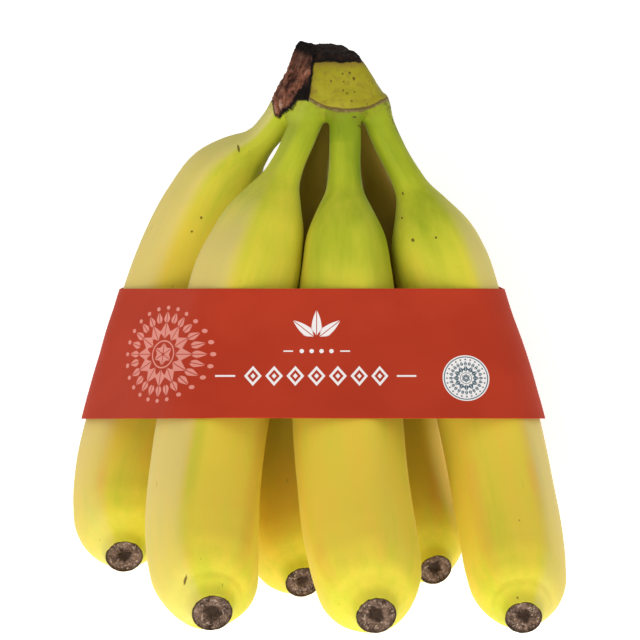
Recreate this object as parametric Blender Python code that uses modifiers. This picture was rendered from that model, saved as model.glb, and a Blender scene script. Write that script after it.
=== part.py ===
"""A bunch of bananas held by a paper band.

Six fingers in two rows grow from one crown and are fused with it, as they grew. The bunch lies on
the bellies of its back row, with the crown raised behind and the blossom ends curving up in front.
A wide paper band runs once round all six fingers at mid length.

The fingers are laid out in the bunch's own frame, in millimetres: U to the right, V from the
blossom ends towards the crown, W from the back row up to the front row. lay_down() turns that
frame into the world's, in metres and +Z up.
"""

import math
from collections import namedtuple

import bmesh
import bpy
import numpy as np
from mathutils import Matrix, Vector

MM = 0.001

# How the bunch lies: the V axis climbs by this angle from the table towards the crown
LIE_ANGLE = math.radians(33)
# How deep the bellies are pressed flat where they rest
FLAT_DEPTH = 0.5

# Where along a finger its headings are given, as shares of its length
HEADING_AT = (0.0, 0.1, 0.2, 0.4, 0.7, 1.0)

# root: middle of the neck at the crown. girth: greatest diameter. neck: share of the length that
# is neck. heading: sideways turn from straight down. climb: rise out of the U-V plane, at the root
# and at the tip. roll: turn of the five ridges about the finger's own axis. Angles in degrees.
Finger = namedtuple("Finger", "root length girth neck heading climb roll")
FINGERS = {
    "back_left": Finger((-12, 65, 3.8), 173, 34.0, 0.07, (-34, -54, -27, -16, -9, 10), (-24, 58), -18),
    "back_middle": Finger((1, 66, -8.3), 172, 32.0, 0.14, (-8, -14, -10, -1, -2, 20), (-11, 58), -18),
    "back_right": Finger((13, 66, -9.3), 170, 30.0, 0.14, (14, 20, 10, -6, 10, 27), (-12, 58), -18),
    "front_left": Finger((-2.5, 66, 10.5), 197, 34.5, 0.12, (-22, -26, -17, -11, -6, 12), (2, 62), -8),
    "front_centre": Finger((8, 66, 13), 193, 35.0, 0.14, (0, 0, 1, -1, 6, 12), (4, 64), -18),
    "front_right": Finger((17.5, 66, 8), 195, 32.0, 0.135, (18, 34, 19, 14, 8, 5), (-1, 62), -30),
}

# Outline of a finger: share of the length, radius as a share of the greatest radius
NECK_SHARE = 0.15
OUTLINE_AT = (0, 0.06, 0.12, 0.15, 0.18, 0.22, 0.28, 0.38, 0.52, 0.68, 0.80, 0.87, 0.92, 0.955, 0.98, 1)
OUTLINE = (0.30, 0.295, 0.31, 0.37, 0.53, 0.72, 0.84, 0.94, 1, 1, 0.985, 0.94, 0.85, 0.67, 0.42, 0.35)

RIDGES = 5
RIDGE_HEIGHT = 0.03
SIDES = 15
# Rings of the finger's mesh, thickest where the outline turns
RINGS_AT = (0, 0.07, 0.13, 0.16, 0.19, 0.22, 0.27, 0.34, 0.42, 0.5, 0.58, 0.66, 0.74, 0.81, 0.87,
            0.91, 0.94, 0.965, 0.98, 1)
# A neck's root is sunk in the crown: this share of the way to its middle, this much slimmer
ROOT_SINK = 0.35
ROOT_SLIMMING = 0.5
# Dried blossom end: share of its radius and depth of the sunken disc
DISC_SHARE = 0.7
DISC_DEPTH = 1.2

# Crown: a block with rounded edges that narrows upwards, cut across at the top and torn at the left
CROWN_MIDDLE = (3.5, 79.5, 2.5)
CROWN_HALF = (19.5, 15.5, 16.5)
CROWN_NARROWING = 0.5
CROWN_ROUNDNESS = 5.0
CROWN_CUTS = 7
TOP_CUT = ((-5.5, 90.0, -12.0), (0.28, 1.0, 0.28))
LEFT_CUT = ((-12.5, 77.0, -8.0), (-1.0, 0.44, 0.35))

# Paper band. Its edges stand at V = first number + second number times W
BAND_TOP = (8.1, -0.01)
BAND_BOTTOM = (-34.1, 0.043)
BAND_STATIONS = 7
BAND_SIDES = 72
BAND_GAP = 0.35
BAND_THICKNESS = 0.35
# Underneath, the band rides this much nearer to the crown, clear of the bellies' lowest spots
BAND_BACK_LIFT = 7.5

AXIS_STEPS = 240


def clear_scene():
    for obj in list(bpy.data.objects):
        bpy.data.objects.remove(obj, do_unlink=True)


def new_collection(name):
    collection = bpy.data.collections.new(name)
    bpy.context.scene.collection.children.link(collection)
    return collection


def material(name, colour, roughness):
    made = bpy.data.materials.new(name)
    made.use_nodes = True
    shader = made.node_tree.nodes["Principled BSDF"]
    shader.inputs["Base Color"].default_value = (*colour, 1)
    shader.inputs["Roughness"].default_value = roughness
    shader.inputs["Metallic"].default_value = 0
    return made


def add_object(name, mesh, collection):
    obj = bpy.data.objects.new(name, mesh)
    collection.objects.link(obj)
    return obj


def lay_down(points):
    """Turns points of the bunch's frame into world directions, still in millimetres."""
    u, v, w = np.moveaxis(np.asarray(points, float), -1, 0)
    sine, cosine = math.sin(LIE_ANGLE), math.cos(LIE_ANGLE)
    return np.stack((u, v * cosine - w * sine, v * sine + w * cosine), axis=-1)


def eased(xs, ys, x):
    """Reads a smooth curve through the points xs, ys."""
    xs, ys, x = np.array(xs, float), np.array(ys, float), np.asarray(x, float)
    slopes = np.gradient(ys, xs)
    left = np.clip(np.searchsorted(xs, x) - 1, 0, len(xs) - 2)
    width = xs[left + 1] - xs[left]
    t = (x - xs[left]) / width
    start = (1 + 2 * t) * (1 - t) ** 2 * ys[left] + t * (1 - t) ** 2 * width * slopes[left]
    end = t * t * (3 - 2 * t) * ys[left + 1] + t * t * (t - 1) * width * slopes[left + 1]
    return start + end


def axis_of(finger):
    """Shares along the finger's middle line, its points and its directions."""
    share = np.linspace(0, 1, AXIS_STEPS)
    heading = np.radians(np.interp(share, HEADING_AT, finger.heading))
    climb = np.radians(np.interp(share, (0, 1), finger.climb))
    along = np.stack((np.sin(heading) * np.cos(climb), -np.cos(heading) * np.cos(climb), np.sin(climb)), 1)
    steps = (along[1:] + along[:-1]) / 2 * finger.length / (AXIS_STEPS - 1)
    points = np.array(finger.root) + np.vstack((np.zeros(3), np.cumsum(steps, axis=0)))
    return share, points, along


def radius_at(finger, share):
    neck = finger.neck
    share = np.asarray(share, float)
    in_neck = share * NECK_SHARE / neck
    in_body = NECK_SHARE + (share - neck) * (1 - NECK_SHARE) / (1 - neck)
    return finger.girth / 2 * eased(OUTLINE_AT, OUTLINE, np.where(share < neck, in_neck, in_body))


def read_axis(finger, share):
    shares, points, along = axis_of(finger)
    middle = np.array([np.interp(share, shares, points[:, k]) for k in range(3)])
    direction = np.array([np.interp(share, shares, along[:, k]) for k in range(3)])
    return middle, direction / np.linalg.norm(direction)


def ring_table(finger):
    """One row for each ring from root to tip: its middle, its direction, its radius and its share."""
    middle, direction = read_axis(finger, 0)
    sunk = middle + (np.array(CROWN_MIDDLE) - middle) * ROOT_SINK
    rows = [(sunk, direction, 0, 0), (sunk, direction, radius_at(finger, 0) * ROOT_SLIMMING, 0)]
    for share in RINGS_AT:
        rows.append((*read_axis(finger, share), radius_at(finger, share), share))
    middle, direction = read_axis(finger, 1)
    disc = radius_at(finger, 1) * DISC_SHARE
    floor = middle - direction * DISC_DEPTH
    rows += [(middle, direction, disc, 1), (floor, direction, disc * 0.8, 1), (floor, direction, 0, 1)]
    return rows


def make_finger(name, finger, collection):
    """A ball whose rings are moved onto the finger's sections."""
    rows = ring_table(finger)
    ball = bmesh.new()
    bmesh.ops.create_uvsphere(ball, u_segments=SIDES, v_segments=len(rows) - 1, radius=1)
    for vert in ball.verts:
        ring = round(math.acos(max(-1, min(1, vert.co.z))) / math.pi * (len(rows) - 1))
        angle = math.atan2(vert.co.y, vert.co.x)
        middle, direction, radius, share = rows[ring]
        side = np.cross(direction, (0, 0, 1))
        side /= np.linalg.norm(side)
        back = np.cross(side, direction)
        ridged = max(0, min(1, (share - finger.neck) / 0.15, (1 - share) / 0.1))
        radius = radius * (1 + RIDGE_HEIGHT * ridged * math.cos(RIDGES * angle))
        turned = angle + math.radians(finger.roll)
        offset = side * math.cos(turned) + back * math.sin(turned)
        vert.co = Vector(lay_down(middle + offset * radius) * MM)
    bmesh.ops.recalc_face_normals(ball, faces=ball.faces)
    mesh = bpy.data.meshes.new(name)
    ball.to_mesh(mesh)
    ball.free()
    return add_object(name, mesh, collection)


def cut_away(shape, point, normal):
    """Cuts off what lies beyond a plane and closes the cut."""
    bmesh.ops.bisect_plane(shape, geom=shape.verts[:] + shape.edges[:] + shape.faces[:],
                           dist=1e-7, plane_co=point, plane_no=normal, clear_outer=True)
    bmesh.ops.holes_fill(shape, edges=[edge for edge in shape.edges if edge.is_boundary])


def make_crown(collection):
    """A cube pushed out to a block with rounded edges, then cut and torn."""
    block = bmesh.new()
    bmesh.ops.create_cube(block, size=2)
    bmesh.ops.subdivide_edges(block, edges=block.edges[:], cuts=CROWN_CUTS, use_grid_fill=True)
    for vert in block.verts:
        x, y, z = vert.co
        length = sum(abs(k) ** CROWN_ROUNDNESS for k in (x, y, z)) ** (1 / CROWN_ROUNDNESS)
        x, y, z = x / length, y / length, z / length
        narrow = 1 - CROWN_NARROWING * (y + 1) / 2
        vert.co = (CROWN_MIDDLE[0] + CROWN_HALF[0] * x * narrow,
                   CROWN_MIDDLE[1] + CROWN_HALF[1] * y,
                   CROWN_MIDDLE[2] + CROWN_HALF[2] * z * narrow)
    for point, normal in (TOP_CUT, LEFT_CUT):
        cut_away(block, point, normal)
    for vert in block.verts:
        vert.co = Vector(lay_down(vert.co) * MM)
    bmesh.ops.recalc_face_normals(block, faces=block.faces)
    mesh = bpy.data.meshes.new("crown")
    block.to_mesh(mesh)
    block.free()
    return add_object("crown", mesh, collection)


def fuse(name, parts, collection):
    """Joins the parts into one object with one Boolean union."""
    first, rest = parts[0], parts[1:]
    group = bpy.data.collections.new("to_fuse")
    for part in rest:
        group.objects.link(part)
    union = first.modifiers.new("fuse", "BOOLEAN")
    union.operation = "UNION"
    union.operand_type = "COLLECTION"
    union.collection = group
    union.solver = "EXACT"
    shown = first.evaluated_get(bpy.context.evaluated_depsgraph_get())
    mesh = bpy.data.meshes.new_from_object(shown)
    for part in parts:
        bpy.data.objects.remove(part, do_unlink=True)
    bpy.data.collections.remove(group)
    return add_object(name, mesh, collection)


def make_bunch(collection):
    parts = [make_finger(name, finger, collection) for name, finger in FINGERS.items()]
    parts.append(make_crown(collection))
    bunch = fuse("banana_bunch", parts, collection)
    floor = min(vert.co.z for vert in bunch.data.vertices) + FLAT_DEPTH * MM
    shape = bmesh.new()
    shape.from_mesh(bunch.data)
    cut_away(shape, (0, 0, floor), (0, 0, -1))
    shape.to_mesh(bunch.data)
    shape.free()
    bunch.data.materials.clear()
    bunch.data.materials.append(material("peel", (0.72, 0.55, 0.03), 0.45))
    bunch.data.shade_smooth()
    bunch.data.set_sharp_from_angle(angle=math.radians(40))
    return bunch


def section_at(finger, station):
    """The oval in which a finger crosses the plane V = station: its middle and its half axes."""
    shares, points, along = axis_of(finger)
    _, direction = read_axis(finger, np.interp(-station, -points[:, 1], shares))
    radius = radius_at(finger, shares) * (1 + RIDGE_HEIGHT)
    side = np.cross(along, (0, 0, 1))
    side /= np.linalg.norm(side, axis=1)[:, None]
    back = np.cross(side, along)
    rim = []
    for angle in np.linspace(0, 2 * math.pi, 24, endpoint=False):
        line = points + (side * math.cos(angle) + back * math.sin(angle)) * radius[:, None]
        rim.append([np.interp(-station, -line[:, 1], line[:, k]) for k in (0, 2)])
    lean = np.array((direction[0], direction[2])) / math.hypot(direction[0], direction[2])
    axes = (lean, np.array((-lean[1], lean[0])))
    reach = [(max(point @ axis for point in rim), min(point @ axis for point in rim)) for axis in axes]
    middle = sum(axis * (far + near) / 2 for axis, (far, near) in zip(axes, reach))
    return [middle] + [axis * (far - near) / 2 for axis, (far, near) in zip(axes, reach)]


def loop_at(station, spread):
    """A taut loop round the six sections, as tangent points for evenly turned directions."""
    sections = [section_at(finger, station) for finger in FINGERS.values()]
    loop = []
    for step in range(BAND_SIDES):
        angle = 2 * math.pi * step / BAND_SIDES
        outward = np.array((math.cos(angle), math.sin(angle)))
        best = None
        for middle, long_axis, short_axis in sections:
            pull = np.array((outward @ long_axis, outward @ short_axis))
            point = middle + (long_axis * pull[0] + short_axis * pull[1]) / math.hypot(*pull)
            if best is None or outward @ point > outward @ best:
                best = point
        loop.append(best + outward * spread)
    return np.array(loop)


def band_points(spread):
    """Rows of points down the band, each a loop whose V follows the band's two edges."""
    rows = []
    for share in np.linspace(0, 1, BAND_STATIONS):
        edge = [top + (bottom - top) * share for top, bottom in zip(BAND_TOP, BAND_BOTTOM)]
        row = []
        for step, (_, w) in enumerate(loop_at(edge[0], spread)):
            facing_down = max(0, -math.sin(2 * math.pi * step / BAND_SIDES))
            station = edge[0] + edge[1] * w + BAND_BACK_LIFT * facing_down ** 2
            u, w = loop_at(station, spread)[step]
            row.append((u, station, w))
        rows.append(row)
    return np.array(rows)


def make_band(collection):
    """Bridges the loops into one open tube, which Solidify gives its thickness."""
    sheet = bmesh.new()
    rings = []
    for row in band_points(BAND_GAP + BAND_THICKNESS):
        rings.append([sheet.verts.new(lay_down(point) * MM) for point in row])
    for upper, lower in zip(rings, rings[1:]):
        for k in range(BAND_SIDES):
            after = (k + 1) % BAND_SIDES
            sheet.faces.new((upper[k], upper[after], lower[after], lower[k]))
    bmesh.ops.recalc_face_normals(sheet, faces=sheet.faces)
    mesh = bpy.data.meshes.new("paper_band")
    sheet.to_mesh(mesh)
    sheet.free()
    band = add_object("paper_band", mesh, collection)
    wall = band.modifiers.new("thickness", "SOLIDIFY")
    wall.thickness = BAND_THICKNESS * MM
    wall.offset = -1
    band.data.materials.append(material("band_paper", (0.48, 0.045, 0.02), 0.6))
    band.data.shade_smooth()
    band.data.set_sharp_from_angle(angle=math.radians(40))
    return band


def place_on_origin(objects):
    """Moves the pieces so that the origin is under their middle, at the height they rest on."""
    points = np.array([vert.co for obj in objects for vert in obj.data.vertices])
    low, high = points.min(axis=0), points.max(axis=0)
    shift = Matrix.Translation((-(low[0] + high[0]) / 2, -(low[1] + high[1]) / 2, -low[2]))
    for obj in objects:
        obj.data.transform(shift)
    print("placed by", [round(value, 6) for value in shift.translation])


def main():
    clear_scene()
    collection = new_collection("bunch_of_bananas")
    bunch = make_bunch(collection)
    band = make_band(collection)
    place_on_origin((bunch, band))


main()
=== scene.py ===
"""Looks of a bunch of bananas with a paper band round it.

Every point is worked out in the bunch's own frame, in millimetres: U to the right, V from the
blossom ends towards the crown, W from the back row up to the front row. place() lays the bunch
down on its back row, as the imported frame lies.
"""

import math
from collections import namedtuple

import bpy
import numpy as np
from bpy.props import FloatProperty, FloatVectorProperty, IntProperty, PointerProperty
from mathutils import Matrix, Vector, noise


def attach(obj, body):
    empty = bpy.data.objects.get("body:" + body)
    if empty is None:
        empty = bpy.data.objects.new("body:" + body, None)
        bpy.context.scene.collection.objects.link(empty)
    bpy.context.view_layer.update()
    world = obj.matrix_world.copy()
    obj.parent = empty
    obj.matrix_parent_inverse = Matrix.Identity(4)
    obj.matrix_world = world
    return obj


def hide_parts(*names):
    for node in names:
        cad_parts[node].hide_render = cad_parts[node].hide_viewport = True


bl_info = {
    "name": "Bunch of Bananas",
    "version": (1, 0, 0),
    "blender": (4, 5, 0),
    "location": "View3D > Sidebar > Bananas",
    "description": "Grows a bunch of bananas, wraps its paper band and sets the stage",
    "category": "Add Mesh",
}

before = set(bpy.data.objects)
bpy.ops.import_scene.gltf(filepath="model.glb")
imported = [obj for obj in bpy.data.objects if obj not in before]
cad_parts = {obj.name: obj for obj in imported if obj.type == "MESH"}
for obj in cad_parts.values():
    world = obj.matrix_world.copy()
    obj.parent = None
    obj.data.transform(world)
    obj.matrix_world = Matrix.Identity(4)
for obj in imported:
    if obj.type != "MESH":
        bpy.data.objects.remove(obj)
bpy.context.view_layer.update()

MM = 0.001
LIE_ANGLE = math.radians(33)
LIE_SINE, LIE_COSINE = math.sin(LIE_ANGLE), math.cos(LIE_ANGLE)
SHIFT = np.array((0.001366, 0.030467, 0.026489))
# How far the camera stands from the bunch's origin, along W
CAMERA_DISTANCE = 800
# The picture's width in pixels, in which the camera's shift is given
PICTURE_WIDTH = 640
FLOOR_WIDTH = 6

# The fingers. root: middle of the neck at the crown. girth: greatest diameter. neck: share of the
# length that is neck. shoulder: where below its neck the finger is fuller, and by how much.
# heading: sideways turn at HEADING_AT. climb: rise at the root and at the tip. roll: turn of the
# five ridges. green: how much greener the finger is than the others. The last field gives from
# where to where, round the finger, a pale painted sheen is laid into the peel's colour (0 faces
# left, 90 up and 180 right), a painted reflection on the outer sides; how much of it there is at
# the neck, where a streak runs along its edge, and how orange (above 0) or green (below 0) the streak is.
HEADING_AT = (0.0, 0.1, 0.2, 0.4, 0.7, 1.0)
Finger = namedtuple("Finger", "name root length girth neck shoulder heading climb roll green bloom")
FINGERS = (
    Finger("back_left", (-12, 65, 3.8), 173, 34.0, 0.089, (0.3, 0),
           (-34, -51, -28.5, -16, -12.5, 11), (-24, 58), -8, -0.29, (-70, 70, 0.9, 66, 0.7)),
    Finger("back_middle", (1, 66, -8.3), 172, 32.0, 0.14, (0.3, 0),
           (-8, -9, -8, -4, -2, 20), (-11, 58), -18, -0.34, None),
    Finger("back_right", (12, 66, -9.3), 170, 30.8, 0.14, (0.3, 0),
           (14, 17, 11, -4.5, 10, 27), (-12, 58), -18, -0.5, None),
    Finger("front_left", (-2.5, 66, 10.5), 192, 34.5, 0.132, (0.31, 0.1),
           (-22, -24, -18.5, -13.5, -4, 18), (2, 62), 4, -0.14, (-40, 74, 0.1, 80, -0.9)),
    Finger("front_centre", (8, 66, 13), 190.5, 34.0, 0.145, (0.3, 0),
           (0, -1, 1, -1.6, 6.6, 16), (4, 64), -30, 0.08, None),
    Finger("front_right", (17.5, 66, 8), 194, 31.5, 0.15, (0.27, 0.15),
           (18, 29.5, 20, 16.5, 7.5, 1), (-1, 62), -20, -0.03, (124, 220, 0, 122, 0.8)),
)
NECK_SHARE = 0.15
OUTLINE_AT = (0, 0.06, 0.12, 0.15, 0.18, 0.22, 0.28, 0.38, 0.52, 0.68, 0.80, 0.87, 0.92, 0.955, 0.98, 1)
OUTLINE = (0.30, 0.295, 0.31, 0.37, 0.53, 0.73, 0.85, 0.94, 1, 1, 0.985, 0.945, 0.865, 0.69, 0.42, 0.33)
SHOULDER_WIDTH = 0.08
AXIS_STEPS = 480
RIDGES = 5
RIDGE_HEIGHT = 0.03
# How far a flat between two ridges lies below them, as a share of the radius
FLAT_DEPTH = 0.062
NECK_RIDGES = 0.5
ROOT_SINK = 0.35
ROOT_SLIMMING = 0.5
# Where a finger is sewn to the stump of crown and necks: millimetres from its root
SEAM_AT = 13.0
SEAM_GAP = 0.7
# How far past its seam a neck of the stump goes on, and how near to the seam it is cut open
PAST_SEAM = 6
SEAM_REACH = 14
# Rings down a finger: share where a stretch ends, and the rings in that stretch
RING_STRETCHES = ((0.16, 14), (0.32, 22), (0.84, 40), (0.94, 16), (1.0, 16))
# Blossom end from its rim to its middle: share of the end's radius, depth in millimetres
BLOSSOM_RINGS = ((0.985, 0.0), (0.955, 0.25), (0.91, 0.75), (0.85, 0.95), (0.76, 0.85), (0.66, 0.75),
                 (0.56, 0.7), (0.46, 0.75), (0.37, 0.9), (0.29, 1.2), (0.2, 1.6), (0.1, 1.8))

# The crown: a block with rounded edges that narrows upwards, cut across on top and torn at the left
CROWN_MIDDLE = np.array((3.5, 79.5, 2.5))
CROWN_HALF = np.array((19.5, 15.5, 16.5))
CROWN_NARROWING = 0.5
CROWN_ROUNDNESS = 4.5
# Millimetres for each share of its own size that a point lies outside the block
CROWN_SCALE = 15
TOP_CUT = ((-4.3, 91.1, -12.0), (0.12, 1.0, 0.25))
SLOPING_CUT = ((9.7, 88.6, -12.0), (0.60, 1.0, 0.10))
RIGHT_CUT = ((16.9, 76.5, 8.0), (0.845, 0.54, 0.05))
LEFT_CUT = ((-13.5, 77.0, -8.0), (-1.0, 0.38, 0.35))
# The lobes of torn fibre that hang from the left cut: middle and half size
FLAPS = (((-9.3, 72.8, 9.2), (2.7, 4.8, 3.8)), ((-11.0, 70.3, 8.4), (2.1, 3.6, 3.6)),
         ((-8.3, 68.4, 13.0), (2.4, 3.4, 3.2)), ((-12.9, 69.3, 7.0), (1.1, 2.4, 2.2)))
# The fold where the crown's skin ends at the torn side: U at V = 76.4 and how it leans
FOLD = (-2.4, 0.13, 76.4)
# The torn side's proud strand: where it starts and where it ends
STRAND_TOP = np.array((-2.6, 83.0, 8.0))
STRAND_END = np.array((-11.3, 68.2, 10.0))
# The scar line round the crown's foot: its lowest V, the U of that spot, its rise and where it ends
SCAR = (64.6, 8.5, 0.026, 4.2)
# V above which the crown is dried black where W is the last number, and its rise towards lower W
DARK_LINE = (80.2, 0.22, 15)
STUMP_VOXEL = 0.5
# How often the crown's surface is halved in on, from its middle to a point that is surely outside
HALVINGS = 24
SURELY_OUTSIDE = 40.0
FIELD_STEPS = 4
# Edges shorter than this are dissolved, in metres
SHORTEST_EDGE = 2e-6
# How far apart the fingers lie in the pattern's own space, so that no two look alike
FIBRE_APART = 500
# The stump's own measures, and what a finger stores for them: far from all of these places
STUMP_LAYERS = ("crown_mm", "torn_mm", "fold_mm", "cut_mm", "scar_mm")
FAR_OFF = -20.0
# Small brown marks on the upper side: U, V, half width, half length, lean
MARKS = (
    (-26.3, 53.4, 0.4, 1.4, 12), (7.2, 76.6, 0.3, 0.4, 0), (9.5, 76.9, 0.35, 0.5, 30),
    (10.8, 75.0, 0.42, 0.65, 10), (3.5, 74.2, 0.3, 0.3, 0), (7.6, 74.0, 0.24, 0.3, 0),
    (7.4, 71.2, 0.24, 0.34, 0), (11.0, 70.6, 0.26, 0.3, 0), (26.0, 30.5, 0.35, 0.45, 0),
    (29.2, 23.3, 0.5, 0.7, 20), (36.4, 24.0, 0.4, 0.4, 0), (11.0, 62.6, 0.8, 0.3, 0),
    (13.4, 59.6, 1.5, 0.4, -20), (26.4, 38.4, 0.25, 0.6, 20),
    (-38.2, 31.0, 0.4, 0.5, 0), (-41.2, 26.5, 0.35, 0.4, 0), (-40.6, 79.0, 0.3, 0.3, 0),
    (-38.0, -75.0, 0.4, 1.5, -15),
)
# The scuffed outer edge of the front right neck, from U and V to U and V
SCUFF = ((21.2, 67.5), (30.8, 50.0))

# The band's edges stand at V = first number + second number times W
BAND_TOP = (8.1, -0.01)
BAND_BOTTOM = (-34.1, 0.043)
BAND_GAP = 0.35
BAND_BACK_LIFT = 7.5
BAND_STATIONS = 40
BAND_TURNS = 360
# The glued end rises between these distances before the start that it covers, and clears it by the gap
GLUE_RISE = (7, 0.5)
GLUE_GAP = 0.06
# The print is centred where the band's front has this U
FRONT_U = -1.0
# The print, in millimetres from the middle of the front and down from the band's upper edge
ROSETTE_AT = (-53.0, 21.4)
# The left rosette is drawn wide, so that it looks round where the paper turns away
ROSETTE_WIDENING = 1.42
SEAL_AT = (46.4, 29.2)
SEAL_RADIUS = 7.5
SPRIG_AT = 16.4
BEADS_AT = 20.4
LOZENGES_AT = 28.5
LOZENGE_STEP = 6.4
# Height of the paper's tooth, in metres
PAPER_RELIEF = 0.00003

# The soft lights: where each hangs and how wide it is, in metres
LIGHTS = {"key": ((-0.38, -0.68, 0.74), 0.5), "fill": ((0.8, -0.5, 0.6), 0.6),
          "low": ((0.05, -0.9, 0.3), 0.5)}
LIGHTS_AIM = (0, 0, 0.03)


def place(points):
    """Points of the bunch's frame, in millimetres, laid down in the world, in metres."""
    u, v, w = np.moveaxis(np.asarray(points, float), -1, 0)
    laid = (u, v * LIE_COSINE - w * LIE_SINE, v * LIE_SINE + w * LIE_COSINE)
    return np.stack(laid, axis=-1) * MM + SHIFT


def eased(xs, ys, x):
    """Reads a smooth curve through the points xs, ys."""
    xs, ys, x = np.array(xs, float), np.array(ys, float), np.asarray(x, float)
    slopes = np.gradient(ys, xs)
    left = np.clip(np.searchsorted(xs, x) - 1, 0, len(xs) - 2)
    width = xs[left + 1] - xs[left]
    t = (x - xs[left]) / width
    start = (1 + 2 * t) * (1 - t) ** 2 * ys[left] + t * (1 - t) ** 2 * width * slopes[left]
    end = t * t * (3 - 2 * t) * ys[left + 1] + t * t * (t - 1) * width * slopes[left + 1]
    return start + end


def step(low, high, x):
    """0 below low, 1 above high, and smooth in between."""
    t = np.clip((np.asarray(x, float) - low) / (high - low), 0, 1)
    return t * t * (3 - 2 * t)


def units(vectors):
    return vectors / np.linalg.norm(vectors, axis=-1, keepdims=True)


def read_rows(at, places, rows):
    """Reads a table, whose rows stand at these places, anywhere between them."""
    return np.stack([np.interp(at, places, column) for column in rows.T], axis=-1)


def axis_of(finger):
    """Shares along the finger's middle line, its points and its directions."""
    share = np.linspace(0, 1, AXIS_STEPS)
    heading = np.radians(np.interp(share, HEADING_AT, finger.heading))
    climb = np.radians(np.interp(share, (0, 1), finger.climb))
    along = np.stack((np.sin(heading) * np.cos(climb), -np.cos(heading) * np.cos(climb), np.sin(climb)), 1)
    steps = (along[1:] + along[:-1]) / 2 * finger.length / (AXIS_STEPS - 1)
    return share, np.array(finger.root) + np.vstack((np.zeros(3), np.cumsum(steps, axis=0))), along


def read_axis(finger, share):
    """The middle line's points and directions at these shares of its length."""
    shares, points, along = axis_of(finger)
    return read_rows(share, shares, points), units(read_rows(share, shares, along))


def radius_at(finger, share):
    """The finger's radius, without its ridges, at these shares of its length."""
    neck = finger.neck
    share = np.asarray(share, float)
    in_neck = share * NECK_SHARE / neck
    in_body = NECK_SHARE + (share - neck) * (1 - NECK_SHARE) / (1 - neck)
    shoulder_at, fullness = finger.shoulder
    fuller = 1 + fullness * np.exp(-((share - shoulder_at) / SHOULDER_WIDTH) ** 2)
    return finger.girth / 2 * fuller * eased(OUTLINE_AT, OUTLINE, np.where(share < neck, in_neck, in_body))


def sides_of(direction):
    """Two directions square to the finger's own, from which its ridges are turned."""
    side = units(np.cross(direction, (0, 0, 1)))
    return side, np.cross(side, direction)


def ridge_factor(finger, share, angle):
    """How far the peel stands out at this angle, where the five ridges stand at 0, 72, 144 ..."""
    share = np.asarray(share, float)
    into_body = step(finger.neck * 0.8, finger.neck + 0.12, share)
    strength = (NECK_RIDGES * step(0, 0.05, share) * (1 - into_body) + into_body) * step(1, 0.9, share)
    ridged = ((1 + np.cos(RIDGES * angle)) / 2) ** 1.4
    return 1 + strength * (RIDGE_HEIGHT - FLAT_DEPTH * (1 - ridged))


def ripening(finger, share):
    """How green the peel is along the finger: the neck most, then the shoulder and the tip."""
    share = np.asarray(share, float)
    at = (0, 0.06, 0.12, 0.2, 0.3, 0.42, 0.55, 0.8, 0.9, 0.96, 1)
    green = (0.98, 0.9, 0.8, 0.62, 0.47, 0.33, 0.22, 0.13, 0.2, 0.36, 0.46)
    return np.interp(share, at, green) + finger.green * step(0.7, 0.1, share)


def deselect():
    if bpy.context.object and bpy.context.object.mode != "OBJECT":
        bpy.ops.object.mode_set(mode="OBJECT")
    bpy.ops.object.select_all(action="DESELECT")


def pick(*objects):
    deselect()
    for obj in objects:
        obj.select_set(True)
    bpy.context.view_layer.objects.active = objects[0]
    return objects[0]


def points_of(obj):
    points = np.empty(len(obj.data.vertices) * 3)
    obj.data.vertices.foreach_get("co", points)
    return points.reshape(-1, 3)


def move_points(obj, points):
    obj.data.vertices.foreach_set("co", np.ascontiguousarray(points, dtype=np.float32).ravel())
    obj.data.update()


def paint(obj, **layers):
    """Stores named numbers or vectors, one for each vertex, for the material to read."""
    for name, values in layers.items():
        values = np.asarray(values, np.float32)
        kind, field = ("FLOAT_VECTOR", "vector") if values.ndim == 2 else ("FLOAT", "value")
        layer = obj.data.attributes.new(name, kind, "POINT")
        layer.data.foreach_set(field, values.ravel())


def apply_modifier(obj, kind, **settings):
    pick(obj)
    modifier = obj.modifiers.new(kind.lower(), kind)
    for name, value in settings.items():
        setattr(modifier, name, value)
    bpy.ops.object.modifier_apply(modifier=modifier.name)


def edit(obj):
    """Edit mode with the whole of the object selected."""
    pick(obj)
    bpy.ops.object.mode_set(mode="EDIT")
    bpy.ops.mesh.select_all(action="SELECT")


def select_where(obj, chosen, mode):
    """In edit mode, selects the vertices or edges that are chosen."""
    pick(obj)
    bpy.ops.object.mode_set(mode="EDIT")
    bpy.ops.mesh.select_mode(type=mode)
    bpy.ops.mesh.select_all(action="DESELECT")
    bpy.ops.object.mode_set(mode="OBJECT")
    elements = obj.data.vertices if mode == "VERT" else obj.data.edges
    elements.foreach_set("select", np.asarray(chosen, bool))
    bpy.ops.object.mode_set(mode="EDIT")


def cut_open(obj, chosen):
    """Deletes the chosen vertices, which leaves the mesh open there."""
    select_where(obj, chosen, "VERT")
    bpy.ops.mesh.delete(type="VERT")
    deselect()


def ball_of_rings(name, segments, rings):
    """A ball whose rings are ready to be moved, with each vertex's ring and angle."""
    deselect()
    bpy.ops.mesh.primitive_uv_sphere_add(segments=segments, ring_count=rings, radius=1)
    ball = bpy.context.object
    ball.name = ball.data.name = name
    points = points_of(ball)
    ring = np.rint(np.arccos(np.clip(points[:, 2], -1, 1)) * rings / math.pi).astype(int)
    return ball, ring, np.arctan2(points[:, 1], points[:, 0])


def rough(points, scale, seed=0.0, octaves=3):
    """Even, cloudy noise from about -1 to 1, the same on every run."""
    at = np.asarray(points, float) / np.asarray(scale, float) + seed
    return np.array([noise.fractal(Vector(p), 1.0, 2.0, octaves) for p in at])


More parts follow.
